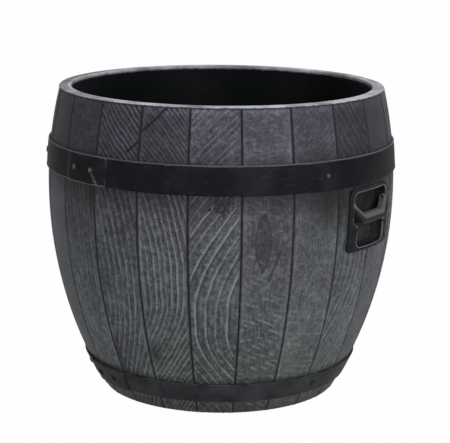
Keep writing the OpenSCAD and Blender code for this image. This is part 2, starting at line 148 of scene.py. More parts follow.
# %% A tree that nodes are added to
class Graph:
    """A node tree with short ways to add nodes and join them."""

    def __init__(self, tree):
        self.tree = tree

    def plug(self, item, socket):
        if isinstance(item, Value):
            self.tree.links.new(item.socket, socket)
        else:
            socket.default_value = item

    def node(self, kind, settings=None, inputs=None, out=0):
        """Adds a node: its settings first, then what its sockets hold, then the output that is wanted."""
        made = self.tree.nodes.new(kind)
        for name, setting in (settings or {}).items():
            if name == "stops":
                for stop, (place, colour) in enumerate(setting):
                    ramp = made.color_ramp.elements
                    element = ramp[stop] if stop < len(ramp) else ramp.new(place)
                    element.position, element.color = place, colour
            else:
                setattr(made, name, setting)
        for place, item in (inputs or {}).items():
            self.plug(item, made.inputs[place])
        return Value(self, made.outputs[out])

    def maths(self, operation, *items):
        return self.node("ShaderNodeMath", {"operation": operation}, dict(enumerate(items)))

    def most(self, first, second):
        return self.maths("MAXIMUM", first, second)

    def share(self, item):
        """The item, held between 0 and 1."""
        return self.maths("MINIMUM", self.most(item, 0.0), 1.0)

    def length(self, x, y):
        return self.maths("SQRT", x * x + y * y)

    def rise(self, item, low, high):
        """0 below low, 1 above high, and a smooth slope between. It falls if low is the larger."""
        if low > high:
            return 1 - self.rise(item, high, low)
        return self.node("ShaderNodeMapRange", {"interpolation_type": "SMOOTHSTEP"},
                         {"Value": item, "From Min": low, "From Max": high})

    def near(self, item, place, far, close):
        """1 within `close` of a place, and 0 beyond `far`."""
        return self.rise(abs(item - place), far, close)

    def blend(self, factor, first, second):
        """Between two numbers."""
        return self.node("ShaderNodeMix", {"data_type": "FLOAT"}, {0: factor, 2: first, 3: second})

    def tint(self, factor, first, second, how="MIX"):
        """Between two colours."""
        return self.node("ShaderNodeMix", {"data_type": "RGBA", "blend_type": how},
                         {0: factor, 6: first, 7: second}, 2)

    def vector(self, x, y, z):
        return self.node("ShaderNodeCombineXYZ", None, {0: x, 1: y, 2: z})

    def polar(self, radius, turn, z, unit=1):
        """The vector to the place at a radius, an angle and a height."""
        x, y = radius * self.maths("COSINE", turn), radius * self.maths("SINE", turn)
        return self.vector(x * unit, y * unit, z * unit)

    def parts(self, vector):
        split = self.node("ShaderNodeSeparateXYZ", None, {0: vector})
        return split, split.other("Y"), split.other("Z")

    def noise(self, vector, scale=1.0, detail=2.0, roughness=0.5):
        return self.node("ShaderNodeTexNoise", None,
                         {"Vector": vector, "Scale": scale, "Detail": detail, "Roughness": roughness})

    def attribute(self, name, out="Fac"):
        """What a mesh tells a material about each point."""
        return self.node("ShaderNodeAttribute", {"attribute_name": name}, None, out)

    def on_object(self):
        """Where a point of the object lies, in metres, for a material."""
        return self.node("ShaderNodeTexCoord", None, None, "Object")


print("node maths ready")

# %% [markdown]
# ## Trees that make meshes
#
# Geometry Nodes suit what repeats or follows a rule: here the staves, the hoops and their fasteners. A
# tree gets named inputs for its sizes, so one tree makes every stave with other numbers. A modifier's
# input is set by its identifier before the object is first evaluated. The result is then kept as a
# plain mesh and the modifier goes, so that nothing has to be worked out again later.


# %% Start and end a tree
def start_tree(name, sizes):
    """A geometry tree with named inputs. Returns its graph and a Value for each input."""
    tree = bpy.data.node_groups.new(name, "GeometryNodeTree")
    tree.is_modifier = True
    tree.interface.new_socket("Geometry", in_out="OUTPUT", socket_type="NodeSocketGeometry")
    for label, size in sizes.items():
        socket = tree.interface.new_socket(label, in_out="INPUT", socket_type="NodeSocketFloat")
        socket.default_value = size
    tree.interface.new_socket("Material", in_out="INPUT", socket_type="NodeSocketMaterial")
    graph = Graph(tree)
    start = tree.nodes.new("NodeGroupInput")
    return graph, {socket.name: Value(graph, socket) for socket in start.outputs if socket.name}


def end_tree(graph, geometry, material):
    """Ends a tree with real geometry that carries its material."""
    real = graph.node("GeometryNodeRealizeInstances", None, {0: geometry})
    painted = graph.node("GeometryNodeSetMaterial", None, {"Geometry": real, "Material": material})
    end = graph.tree.nodes.new("NodeGroupOutput")
    graph.plug(painted, end.inputs[0])


def keep(graph, geometry, name, item, kind="FLOAT"):
    """Stores a number or vector on every point, for the material to read."""
    return graph.node("GeometryNodeStoreNamedAttribute", {"data_type": kind, "domain": "POINT"},
                      {"Geometry": geometry, "Name": name, "Value": item})


print("trees can be started and ended")


# %% Make one piece with a tree
def make_piece(name, graph, material, sizes):
    """Runs a tree with these sizes, and keeps what it makes as a plain mesh."""
    piece = bpy.data.objects.new(name, bpy.data.meshes.new(name))
    scene.collection.objects.link(piece)
    modifier = piece.modifiers.new("shape", "NODES")
    modifier.node_group = graph.tree
    for item in graph.tree.interface.items_tree:
        if item.in_out == "INPUT" and item.name in sizes:
            modifier[item.identifier] = float(sizes[item.name])
        elif item.name == "Material":
            modifier[item.identifier] = material
    evaluated = piece.evaluated_get(bpy.context.evaluated_depsgraph_get())
    mesh = bpy.data.meshes.new_from_object(evaluated)
    empty = piece.data
    piece.modifiers.clear()
    piece.data = mesh
    bpy.data.meshes.remove(empty)
    mesh.name = name
    return piece


print("piece maker ready")


# %% A grid to roll up
def closed_grid(graph, around, rows):
    """A grid that will be rolled up: the mesh, and Values for the place around the section and the row.
    The first and the last row are extra. They close the ends when they shrink to a point."""
    grid = graph.node("GeometryNodeMeshGrid", None,
                      {"Size X": 1.0, "Size Y": 1.0, "Vertices X": around + 1, "Vertices Y": rows + 2})
    x, y, _ = graph.parts(graph.node("GeometryNodeInputPosition"))
    place = graph.maths("ROUND", (x + 0.5) * around)
    row = graph.maths("ROUND", (y + 0.5) * (rows + 1)) - 1
    return grid, place, row


def along_rows(graph, row, rows):
    """How far along the rows a point lies, from 0 to 1, and 1 on the two rows that close the ends."""
    return graph.share(row / (rows - 1)), graph.most(row < -0.5, row > rows - 0.5)


def pick(graph, index, numbers):
    """The number at a place in a list."""
    chosen = graph.node("GeometryNodeIndexSwitch", {"data_type": "FLOAT"}, {0: index})
    switch = chosen.socket.node
    while len(switch.index_switch_items) < len(numbers):
        switch.index_switch_items.new()
    for place, number in enumerate(numbers):
        switch.inputs[place + 1].default_value = number
    return chosen


def roll_up(graph, mesh, radius, turn, z):
    """Moves the grid's points to their place, closes its seam and ends, and shades it smooth."""
    moved = graph.node("GeometryNodeSetPosition", None,
                       {"Geometry": mesh, "Position": graph.polar(radius, turn, z, MM)})
    closed = graph.node("GeometryNodeMergeByDistance", None, {"Geometry": moved, "Distance": 0.00001})
    return graph.node("GeometryNodeSetShadeSmooth", {"domain": "FACE"}, {"Geometry": closed})


print("grids can be rolled up")

# %% [markdown]
# ## The stained wood
#
# The staves are brushed until the soft early wood is worn away and the hard rings stand up as ridges.
# A grey-black stain sinks into the hollows, and rubbing takes it off the ridges again. So the colour
# follows the height: the same ring pattern that shapes the mesh is kept on its points as `ridge`, and
# the material reads it. Fibres finer than the mesh are left to a bump, which is drawn along the rings
# with the kept `flow`.


# %% Start a material
def start_material(name, metallic=0.0, specular=0.5):
    """A material's graph and its shader. Numbers that are the same all over go on its own sockets."""
    material = bpy.data.materials.new(name)
    material.use_nodes = True
    shader = material.node_tree.nodes["Principled BSDF"]
    shader.inputs["Metallic"].default_value = metallic
    shader.inputs["Specular IOR Level"].default_value = specular
    return material, Graph(material.node_tree), shader


def surface(graph, shader, colour, roughness, height, distance, strength):
    """Gives a shader its colour, its roughness and fine relief: a height of 1 is `distance` metres."""
    graph.plug(colour, shader.inputs["Base Color"])
    graph.plug(roughness, shader.inputs["Roughness"])
    normal = graph.node("ShaderNodeBump", None,
                        {"Height": height, "Distance": distance, "Strength": strength})
    graph.plug(normal, shader.inputs["Normal"])


print("material maker ready")

# %% The stave finish
# How grey the stain is, from the bottom of the hollows to the top of the ridges, and its tint by height
WORN_STOPS = [(place, (grey, grey, grey, 1)) for place, grey in ((0.0, 0.011), (0.36, 0.044), (1.0, 0.148))]
TINT_STOPS = [(0.06, (0.95, 1.02, 1.05, 1)), (0.30, (0.96, 1.02, 1.12, 1)), (0.66, (0.96, 0.99, 1.16, 1)),
              (0.70, (0.96, 0.96, 1.27, 1))]


def stave_finish():
    material, g, shader = start_material("stave_wood", specular=0.2)
    ridge = g.attribute("ridge")
    tone = g.attribute("tone")
    across, along, seed = g.parts(g.attribute("flow", "Vector"))
    fibre = g.noise(g.vector(across * 0.34, along * 0.05, seed), 1.0, 3.0, 0.6)
    place = g.on_object()
    blotch = g.noise(place, 14.0, 3.0, 0.55)
    mottle = g.noise(place, 130.0, 3.0, 0.65)
    speck = g.noise(place, 420.0, 2.0, 0.6)
    x, y, height = g.parts(place)

    # Faint level lines, left by a saw, in patches
    hatch = g.noise(g.vector(x * 14, y * 14, height * 520))
    sawn = g.rise(blotch, 0.44, 0.60) * g.rise(height, 0.16, 0.26)
    rough = (fibre - 0.5) * 0.5 + (speck - 0.5) * 0.8 + (mottle - 0.5) * 1.2 + (hatch - 0.5) * sawn * 0.4
    rubbed_and_lit = 0.36 + (ridge * 0.60 + rough) * g.attribute("grain") + (blotch - 0.5) * 0.5
    worn_and_lit = g.node("ShaderNodeValToRGB", {"stops": WORN_STOPS}, {0: rubbed_and_lit})
    tint = g.node("ShaderNodeValToRGB", {"stops": TINT_STOPS}, {0: height * 2})
    damp = g.rise(g.noise(place, 7.0, 2.0, 0.5), 0.48, 0.64) * g.rise(height, 0.34, 0.26)
    tint = g.tint(damp * 0.45, tint, (0.90, 1.06, 0.98, 1))
    # The tone carries painted shadow and painted light as well as the stain
    toned_colour = g.tint(1.0, g.tint(1.0, worn_and_lit, tint, "MULTIPLY"), g.vector(tone, tone, tone), "MULTIPLY")
    colour = g.tint(g.attribute("hollow"), toned_colour, (0.008, 0.008, 0.010, 1))
    surface(g, shader, colour, 0.70 - 0.16 * ridge, fibre * 0.6 + speck * 0.4, 0.0008, 0.8)
    return material


STAVE_WOOD = stave_finish()
print("finish:", STAVE_WOOD.name)

# %% [markdown]
# ## A bowed stave
#
# A stave is one board: tapered to both ends, bent, hollowed inside and eased along its outer edges,
# where two of them leave a thin V. It could be carved from a block, but it follows a rule, so the tree
# starts with a flat grid and says where each point goes. Around the section there are fine steps
# across the outer face and a few coarse ones for the edges and the back; along the stave there are
# about three hundred rows. The mesh stays closed: its seam meets itself, and its ends shrink to a point.
#
# The rings that a saw cuts through appear on the face as nested arcs around some centre, and as slanted
# lines on the short piece above the upper hoop. The distance from that centre, divided by the ring
# spacing, counts the rings. A slow noise bends them, a knot pushes them aside, and a ridge stands in
# the middle of each ring.

# %% The stave tree's inputs
FACE_STEPS, ROWS = 50, 312
STAVE_SIZES = {
    # Where the stave stands in degrees, its noise, and whether it has a hole for a handle's cup
    "Turn": 0.0, "Seed": 0.0, "Cup": 0.0,
    # The arcs: their centre, how they stretch above and below it, and how far apart they are
    "Arc X": 60.0, "Arc Z": 170.0, "Stretch Up": 2.0, "Stretch Down": 1.6, "Spacing": 6.0,
    # Steep arcs have long straight sides: the radius of their turn and the straight length in it
    "Steep": 0.0, "Round": 35.0, "Flat": 0.0, "Wobble": 5.0,
    # The ridges: how high, how much higher to one side, a low one between two, and the relief's depth
    "Ridge": 1.0, "Fade": 0.0, "Between": 0.0, "Depth": 0.8,
    # The slanted lines above the upper hoop, with their lean in degrees from level
    "Upper Lean": 60.0, "Upper Spacing": 6.0, "Upper Ridge": 1.0,
    # A knot, saw marks and a crack. The first and the last lie off the board unless they are moved
    "Knot X": 0.0, "Knot Z": 900.0, "Knot Size": 9.0, "Knot Long": 2.6, "Knot Push": 10.5,
    "Knot Torn": 1.6, "Knot Dark": 0.75, "Knot Rim": 0.0, "Saw": 0.2, "Saw Lean": 0.0,
    "Crack X1": 900.0, "Crack Z1": 0.0, "Crack X2": 900.0, "Crack Z2": 10.0, "Crack Dark": 1.0,
    # The tone, stain with painted light and shade in it; how strongly the wood shows through; a dark patch
    "Tone": 0.85, "Paler Below": 0.0, "Upper Tone": 0.6, "Top Wear": 0.4, "Grain": 1.0,
    "Stain X": 900.0, "Stain Z": 0.0, "Stain W": 12.0, "Stain H": 30.0,
}
HALF = BILGE_R * math.radians(PITCH) / 2 - 0.1
EASE = 2.3
# The section's other corners, after the outer face: how far across, and how far into the board
SECTION = [
    (HALF - EASE, 0.0), (HALF - 0.9, 0.5), (HALF, 1.6), (HALF, STAVE_T), (HALF / 2, STAVE_T),
    (0.0, STAVE_T), (-HALF / 2, STAVE_T), (-HALF, STAVE_T), (-HALF, 1.6), (-HALF + 0.9, 0.5),
    (-HALF + EASE, 0.0),
]
print("section:", FACE_STEPS, "steps over the face and", len(SECTION) - 1, "around the rest")


# %% Where the rings run
def ring_count(g, size, x, z, upper):
    """How many rings a point lies from the arcs' centre or, above the hoop, across the slanted lines."""
    rise = z - size["Arc Z"]
    away = g.most(abs(rise) - size["Flat"], 0.0)
    drawn = away / g.blend(rise < 0.0, size["Stretch Up"], size["Stretch Down"])
    reach = abs(x - size["Arc X"])
    circle = g.length(reach, drawn)
    steep = reach + g.length(drawn, size["Round"]) - size["Round"]
    arcs = g.blend(size["Steep"], circle, steep) / size["Spacing"]
    lean = size["Upper Lean"] * DEGREE
    slant = (x * g.maths("SINE", lean) - z * g.maths("COSINE", lean)) / size["Upper Spacing"]
    return g.blend(upper, arcs, slant)


def line_mark(g, x, z, ends, width=1.9):
    """1 on the line between two ends (x1, z1, x2, z2), and 0 beyond `width` beside it."""
    line_x, line_z = ends[2] - ends[0], ends[3] - ends[1]
    from_x, from_z = x - ends[0], z - ends[1]
    share = g.share((from_x * line_x + from_z * line_z) / (line_x * line_x + line_z * line_z))
    off = g.length(from_x - share * line_x, from_z - share * line_z)
    return g.rise(off, width, 0.37 * width)


print("rings run in arcs up to the upper hoop, at", UPPER_HOOP_Z, "mm")


# %% The ring pattern
def ring_pattern(g, size, x, z):
    """The rings seen on the face at x, z: how high the ridge stands, how dark the hollow is, with painted
    shade beside each crest, the count as a length, and the crack."""
    seed = size["Seed"] * 13.7
    slow = g.noise(g.vector(x / 50, z / 130, seed))
    quick = g.noise(g.vector(x / 14, z / 40, seed + 5))
    bent = x + (slow - 0.5) * size["Wobble"] * 4 + (quick - 0.5) * size["Wobble"] * 0.7
    upper = g.rise(z, UPPER_HOOP_Z - 1, UPPER_HOOP_Z + 1)
    spacing = g.blend(upper, size["Spacing"], size["Upper Spacing"])
    knot_x = (x - size["Knot X"]) / size["Knot Size"]
    knot_z = (z - size["Knot Z"]) / (size["Knot Size"] * size["Knot Long"])
    knot = g.maths("EXPONENT", 0 - (knot_x * knot_x + knot_z * knot_z))
    count = ring_count(g, size, bent, z, upper) + size["Knot Push"] * knot / spacing

    # Each ring: a sharp crest with a slope beside it, sometimes a lower crest, and a groove painted dark as
    # shade
    ring = g.maths("FLOOR", count)
    beside = (count - ring - 0.5) * spacing
    off = abs(beside + (quick - 0.5) * 1.4) - spacing * 0.045
    slope = 0.42 * g.rise(beside / spacing, 0.36, 0.0) * (beside > 0.0)
    crest = g.most(g.rise(off, 1.0, 0.1), slope)
    halfway = g.rise(abs(beside) - spacing / 2, -1.8, -0.3) * g.rise(quick, 0.46, 0.56)
    crest = g.most(crest, halfway * size["Between"])
    groove = g.rise(beside, -4.6, -2.2) * g.rise(beside, -0.9, -1.8)
    luck = g.noise(g.vector(ring * 5.3, z / 70, seed + 11), 1.0, 1.0, 0.5)
    strength = (0.45 + 0.55 * g.rise(luck, 0.36, 0.58)) * g.blend(upper, size["Ridge"], size["Upper Ridge"])
    strength = strength * (1 + size["Fade"] * x / HALF)

    # Saw marks in patches, and pale eased edges: painted highlight where they catch light, and rubbing by
    # hands
    marks = g.maths("PINGPONG", (z + x * size["Saw Lean"] + (quick - 0.5) * 4) / 8.5, 0.5)
    patch = g.rise(g.noise(g.vector(x / 30, z / 9, seed + 23), 1.0, 2.0, 0.6), 0.44, 0.64)
    saw = g.rise(marks, 0.24, 0.48) * patch * size["Saw"] * (0.5 + 0.5 * g.rise(z, 215, 150))
    lit_and_rubbed_edge = g.rise(abs(x), HALF - 7.5, HALF - 4.5) * g.rise(slow, 0.40, 0.62)
    ridge = g.most(g.most(crest * strength, saw), lit_and_rubbed_edge * 0.55 * size["Grain"])

    # A knot's dark heart with its torn outline, the dark line around it, and a crack
    torn = g.noise(g.vector(x / 3.2, z / 5, seed + 31), 1.0, 2.0, 0.6)
    spindle = abs(knot_x) + knot_z * knot_z
    heart = g.rise(spindle + (torn - 0.5) * size["Knot Torn"], 0.80, 0.55)
    dark_knot = g.most(heart * size["Knot Dark"], g.near(spindle, 0.80, 0.22, 0.05) * size["Knot Rim"])
    ends = [size["Crack " + end] for end in ("X1", "Z1", "X2", "Z2")]
    crack = line_mark(g, x + (quick - 0.5) * 4, z, ends) * size["Crack Dark"]
    # The groove's dark band beside each crest is painted shade
    painted_groove_shade = groove * strength * (0.1 + 0.025 * spacing)
    hollow = g.most(g.most(dark_knot, crack), painted_groove_shade)
    return ridge * (1 - heart) * (1 - crack), hollow, count * spacing, crack


print("ring pattern: up to", round(2 * HALF / STAVE_SIZES["Spacing"]), "rings side by side on a board")

# %% [markdown]
# The two staves behind each handle have a hole for its cup, cut with a Boolean. The cutter is two
# blocks, and it is only switched on for those four staves. The cut comes after the ring pattern is
# stored, so that it can't disturb it, and its edge is hidden under the cast plate.
#
# The stain isn't even either. Painted shadow darkens it around both hoops, it is darker at the foot, and
# it is palest along a top edge that is often leant on. Painted light and shade also make it darker above
# the upper hoop, and paler low down on some staves. That is kept as `tone`. The seams stay dark like the
# hollows.


# %% The holes for the cups
# The cup's two openings, a little larger than the cup itself: width, lower and upper height
CUP_HOLES = ((95, 264, 319), (76, 236, 270))
CUTTER_REACH = 0.7


def cut_cups(g, mesh):
    """Takes two blocks, a little larger than the cup, out of the staves at both handles."""
    for width, low, high in CUP_HOLES:
        block = g.node("GeometryNodeMeshCube", None, {"Size": (CUTTER_REACH, width * MM, (high - low) * MM)})
        placed = g.node("GeometryNodeTransform", None,
                        {"Geometry": block, "Translation": (0, 0, (low + high) / 2 * MM)})
        mesh = g.node("GeometryNodeMeshBoolean", {"operation": "DIFFERENCE", "solver": "EXACT"},
                      {"Mesh 1": mesh, "Mesh 2": placed})
    return mesh


print("cup holes:", CUP_HOLES)


# %% The stain's tone, with painted shadow and painted light
def stain_and_painted_light_tone(g, size, x, z):
    """How pale the stave is at a point of the face: the stain, with painted shadow and painted light in it.
    """
    # Painted shadow under and around the upper hoop and above the lower one; the foot is darker too
    hoop_shadow_and_dark_foot = 0.34 * g.near(z, UPPER_HOOP_Z - 15, 42, 22) + 0.36 * g.rise(z, 26, 12)
    hoop_shadow_and_dark_foot = hoop_shadow_and_dark_foot + 0.30 * g.near(z, UPPER_HOOP_Z, 44, 22)
    hoop_shadow_and_dark_foot = hoop_shadow_and_dark_foot + 0.4 * g.near(z, LOWER_HOOP_Z + 17.5, 7, 1)
    scuffs = g.rise(g.noise(g.vector(x / 5, z / 4, size["Seed"] * 7), 1.0, 2.0, 0.6), 0.40, 0.62)
    top_wear = size["Top Wear"] * g.rise(z, STAVE_H - 12, STAVE_H - 2) * (0.4 + 0.6 * scuffs)
    # Paler Below and Upper Tone paint light and shade by height: paler low down, darker above the hoop
    lower_tone = size["Tone"] * (1 + size["Paler Below"] * g.rise(z, 330, 110))
    tone = g.blend(g.rise(z, UPPER_HOOP_Z - 6, UPPER_HOOP_Z + 4), lower_tone, size["Upper Tone"])
    stain_x, stain_z = (x - size["Stain X"]) / size["Stain W"], (z - size["Stain Z"]) / size["Stain H"]
    stain = g.maths("EXPONENT", 0 - (stain_x * stain_x + stain_z * stain_z))
    return (tone * (1 - hoop_shadow_and_dark_foot) + top_wear) * (1 - 0.75 * stain)


# The dark bands around the hoops are painted shadow
print("stain: darkest around", UPPER_HOOP_Z, "and", LOWER_HOOP_Z, "mm")

# %% The stave tree
FOOT_BEVEL = 6


def stave_tree():
    g, size = start_tree("bowed_stave", STAVE_SIZES)
    grid, place, row = closed_grid(g, FACE_STEPS + len(SECTION) - 1, ROWS)
    step = g.most(place - FACE_STEPS, 0.0)
    on_face = place < FACE_STEPS + 0.5
    face_x = (place / FACE_STEPS - 0.5) * (2 * (HALF - EASE))
    x = g.blend(on_face, pick(g, step, [corner[0] for corner in SECTION]), face_x)
    depth = pick(g, step, [corner[1] for corner in SECTION])
    share, ends = along_rows(g, row, ROWS)
    z = share * STAVE_H

    # The relief of the face, and a bevel on the back at the foot
    ridge, hollow, flow, crack = ring_pattern(g, size, x, z)
    inside = g.rise(abs(x), HALF - EASE, HALF - EASE - 2.5)
    relief = (1 - ridge) * size["Depth"] + crack * 1.4 + hollow * 0.5
    depth = depth + on_face * inside * relief
    depth = depth - (depth > STAVE_T - 0.5) * g.most(FOOT_BEVEL - z / 2, 0.0)

    # Bend the board around the barrel
    x = x * (1 - ends)
    depth = g.blend(ends, depth, STAVE_T / 2)
    turn = (size["Turn"] + PITCH / 2) * DEGREE + x / BILGE_R
    bend = BEND_R - depth
    radius = g.maths("SQRT", bend * bend - (z - BILGE_Z) * (z - BILGE_Z)) + CENTRE_R

    mesh = keep(g, grid, "ridge", ridge * (0.35 + 0.65 * inside) * on_face)
    seam = 0.88 * g.rise(abs(x), HALF - 2.0, HALF - 0.9) * g.maths("SQRT", size["Grain"])
    mesh = keep(g, mesh, "hollow", g.most(hollow, seam))
    mesh = keep(g, mesh, "tone", stain_and_painted_light_tone(g, size, x, z))
    mesh = keep(g, mesh, "grain", size["Grain"])
    mesh = keep(g, mesh, "flow", g.vector(flow, z, size["Seed"] * 3.1), "FLOAT_VECTOR")
    mesh = roll_up(g, mesh, radius, turn, z)
    chosen = g.node("GeometryNodeSwitch", {"input_type": "GEOMETRY"},
                    {"Switch": size["Cup"] > 0.5, "False": mesh, "True": cut_cups(g, mesh)})
    end_tree(g, chosen, size["Material"])
    return g


STAVE_TREE = stave_tree()
print("stave tree:", len(STAVE_TREE.tree.nodes), "nodes")

# %% [markdown]
# ## Twenty-two boards
#
# No two boards come from the same place in a tree, so each gets its own numbers. Those that face the
# camera were matched to the photograph: wide arcs on stave 19, fans of close rings to its left,
# calm saw-marked boards with a knot to its right. The others draw theirs from a seeded random
# generator, which gives the same barrel every time.

# %% The boards' own numbers
# A board's numbers in short: each group stands for these inputs, in this order
GROUPS = {
    "Arc": ("Arc X", "Arc Z"), "Stretch": ("Stretch Up", "Stretch Down"),
    "Steep": ("Steep", "Round", "Flat"), "Saw": ("Saw", "Saw Lean"),
    "Upper": ("Upper Lean", "Upper Spacing", "Upper Ridge", "Upper Tone"),
    "Knot": ("Knot X", "Knot Z", "Knot Size", "Knot Long", "Knot Push", "Knot Torn", "Knot Dark", "Knot Rim"),
    "Crack": ("Crack X1", "Crack Z1", "Crack X2", "Crack Z2", "Crack Dark"),
    "Tone": ("Tone", "Paler Below"), "Stain": ("Stain X", "Stain Z", "Stain W", "Stain H"),
}
BOARDS = {
    14: {"Arc": (200,), "Spacing": 8, "Ridge": 0.1, "Upper": (60, 6, 0.1, 0.37), "Saw": (0,),
         "Tone": (1.1,), "Grain": 0.2, "Top Wear": 0.1},
    15: {"Arc": (-190,), "Spacing": 8, "Ridge": 0.1, "Upper": (60, 6, 0.15, 0.32), "Saw": (0,),
         "Tone": (1.1,), "Grain": 0.3, "Top Wear": 0.1},
    16: {"Arc": (-140, 200), "Stretch": (3.6, 3.4), "Spacing": 9, "Ridge": 0.5,
         "Upper": (112, 6, 0.35, 0.35), "Saw": (0,), "Tone": (0.54, 1.3), "Grain": 0.9, "Top Wear": 0.1,
         "Stain": (29, 308, 8, 26)},
    17: {"Arc": (-60, 185), "Stretch": (2, 1.25), "Spacing": 10, "Wobble": 3, "Steep": (1, 80, 15),
         "Fade": 0.3, "Ridge": 0.85, "Upper": (134, 6.4, 1.8, 0.39), "Crack": (37, 394, 16, 376),
         "Saw": (0.1,), "Tone": (0.73, 0.15), "Top Wear": 0.1, "Stain": (-30, 80, 7, 34)},
    18: {"Arc": (-58.2, 200), "Stretch": (1.7, 1), "Spacing": 8.4, "Wobble": 3, "Steep": (1, 80, 15),
         "Fade": 0.35, "Ridge": 0.95, "Upper": (132, 5.4, 1, 0.37), "Crack": (2, 438, -34, 404),
         "Saw": (0.1,), "Tone": (0.87,), "Top Wear": 0.5, "Stain": (-26, 95, 9, 13)},
    19: {"Arc": (72.9, 148), "Stretch": (1.15, 0.78), "Spacing": 15.6, "Wobble": 2.5, "Steep": (1, 80, 15),
         "Between": 0.4, "Ridge": 1.15, "Depth": 0.9, "Upper": (42, 7.2, 0.55, 0.75),
         "Knot": (10, 316, 17, 0.9, 2, 6, 1), "Saw": (0.12,), "Tone": (0.95,), "Top Wear": 0.5},
    20: {"Arc": (240, 200), "Stretch": (4, 3), "Spacing": 5.5, "Ridge": 0.2, "Upper": (8, 5, 0.15, 0.87),
         "Knot": (-6, 261, 13, 3.4, 8, 0.45, 0.32, 0.66), "Crack": (19, 250, 4, 208, 0.65),
         "Saw": (1.1, 0.45), "Tone": (0.87, 0.12), "Grain": 0.8, "Top Wear": 0.5},
    21: {"Arc": (-260, 180), "Stretch": (4, 4), "Spacing": 5, "Ridge": 0.3, "Upper": (44, 6, 0.3, 0.65),
         "Saw": (0.5, 0.15), "Tone": (0.86, 0.45), "Grain": 0.7, "Top Wear": 0.35,
         "Stain": (18, 312, 28, 48)},
    22: {"Arc": (-250, 245), "Stretch": (1.2, 1), "Spacing": 11, "Ridge": 0.6,
         "Upper": (122, 10, 0.7, 0.31), "Saw": (0.1,), "Tone": (0.6, 1.25), "Grain": 0.7,
         "Stain": (-36, 300, 14, 40)},
    1: {"Arc": (180, 120), "Stretch": (3, 2), "Spacing": 7, "Ridge": 0.25, "Upper": (112, 7, 0.3, 0.45),
        "Saw": (0.05,), "Tone": (1.15,), "Grain": 0.55},
}


def in_full(board):
    """The same numbers under the names of the tree's inputs."""
    sizes = {}
    for name, numbers in board.items():
        sizes.update(zip(GROUPS[name], numbers) if name in GROUPS else {name: numbers})
    return sizes


print("boards matched by eye:", sorted(BOARDS))

# %% Boards that the photograph doesn't show
# Close rings in fans, wide rings in fans, and straight rings: how far off the arcs' centre is, then the
# ranges that ARC_RANGES names
ARC_RANGES = ("Stretch Up", "Stretch Down", "Spacing", "Ridge")
KINDS = [
    (65, (1.5, 2.4), (1.3, 2.0), (5, 8), (0.8, 1.1)),
    (70, (1.6, 2.0), (1.4, 1.8), (11, 15), (0.9, 1.1)),
    (220, (3.0, 4.0), (3.0, 4.0), (5, 7), (0.35, 0.6)),
]
UPPER_LEANS = ((35, 60), (110, 135), (80, 100))
RANGES = {"Upper Spacing": (5, 9), "Upper Ridge": (0.4, 1.0), "Saw": (0.1, 0.5), "Saw Lean": (-0.2, 0.25),
          "Tone": (0.75, 1.1), "Upper Tone": (0.4, 0.8), "Grain": (0.6, 1.0)}
KNOT_CHANCE = 0.4


def drawn_board(dice):
    """Numbers for such a board, drawn by chance."""
    off, *ranges = dice.choice(KINDS)
    board = {name: dice.uniform(*ends) for name, ends in zip(ARC_RANGES, ranges)}
    board["Arc X"] = dice.choice((-1, 1)) * dice.uniform(0.85, 1.2) * off
    board["Arc Z"] = dice.uniform(140, 240)
    board["Upper Lean"] = dice.choice([dice.uniform(*leans) for leans in UPPER_LEANS])
    for name, (low, high) in RANGES.items():
        board[name] = dice.uniform(low, high)
    if dice.random() < KNOT_CHANCE:
        board.update({"Knot X": dice.uniform(-18, 18), "Knot Z": dice.uniform(90, 290), "Knot Size": 8})
    return board


print("kinds of board to draw from:", len(KINDS))

# %% Make the staves
BEHIND_HANDLES = (1, 22, 11, 12)
dice = random.Random(22)
for number in range(1, STAVES + 1):
    drawn = drawn_board(dice)
    sizes = {**STAVE_SIZES, **(in_full(BOARDS[number]) if number in BOARDS else drawn)}
    sizes.update({"Turn": (number - 1) * PITCH, "Seed": number, "Cup": number in BEHIND_HANDLES})
    name = f"stave_{number:02d}"
    stave = make_piece(name + "_board", STAVE_TREE, STAVE_WOOD, sizes)
    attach(stave, "barrel")
    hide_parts(name)
print("staves:", STAVES, "boards of", len(stave.data.polygons), "faces")

# %% [markdown]
# ## The iron hoops
#
# A hoop is a strip of iron, bent round and riveted to itself where its end laps over its start. It is
# made as that one strip: it starts under the lap, goes once round, climbs a short ramp onto itself and
# ends. A hammer and years of lifting leave it a little uneven. The black paint is rubbed thin along its
# edges, and along the top edge a painted highlight is added, so the tree keeps `edge`, which is 1 there.
# It also keeps `dust`, which greys the lower hoop, and `streak`, a pale run that starts at a rivet of the
# upper one.


# %% The hoop paint
def iron_paint(name, dark, pale, roughness, bump=0.00025):
    """Satin black paint on iron: dusty in places, and pale along the edges that the mesh marks, partly
    rubbed down to metal and partly painted highlight.
    """
    material, g, shader = start_material(name, specular=0.03)
    place = g.on_object()
    x, y, z = g.parts(place)
    grit = g.noise(place, 900.0, 2.0, 0.6)
    dust = g.noise(place, 26.0, 4.0, 0.6)
    dragged = g.noise(g.vector(x, y, z * 9), 45.0, 3.0, 0.6)
    # `edge` marks both wear and painted highlights
    edge = g.attribute("edge") + (dragged - 0.5) * 0.9
    rubbed_and_lit = g.rise(edge, 0.45, 0.95) + 0.22 * g.rise(dragged, 0.60, 0.74)
    dusty = g.rise(dust, 0.35, 0.75) * 0.25 + g.attribute("dust") * g.rise(dust, 0.15, 0.6)
    worn_and_lit = g.tint(rubbed_and_lit, g.tint(dusty, dark, (0.030, 0.031, 0.034, 1)), pale)
    run = g.attribute("streak") * g.rise(dragged, 0.25, 0.55) * 0.75
    colour = g.tint(run, worn_and_lit, (0.105, 0.104, 0.078, 1))
    shine = roughness + 0.16 * (dust - 0.5) - 0.06 * rubbed_and_lit
    surface(g, shader, colour, shine, grit * 0.5 + dragged * 0.5, bump, 0.6)
    return material


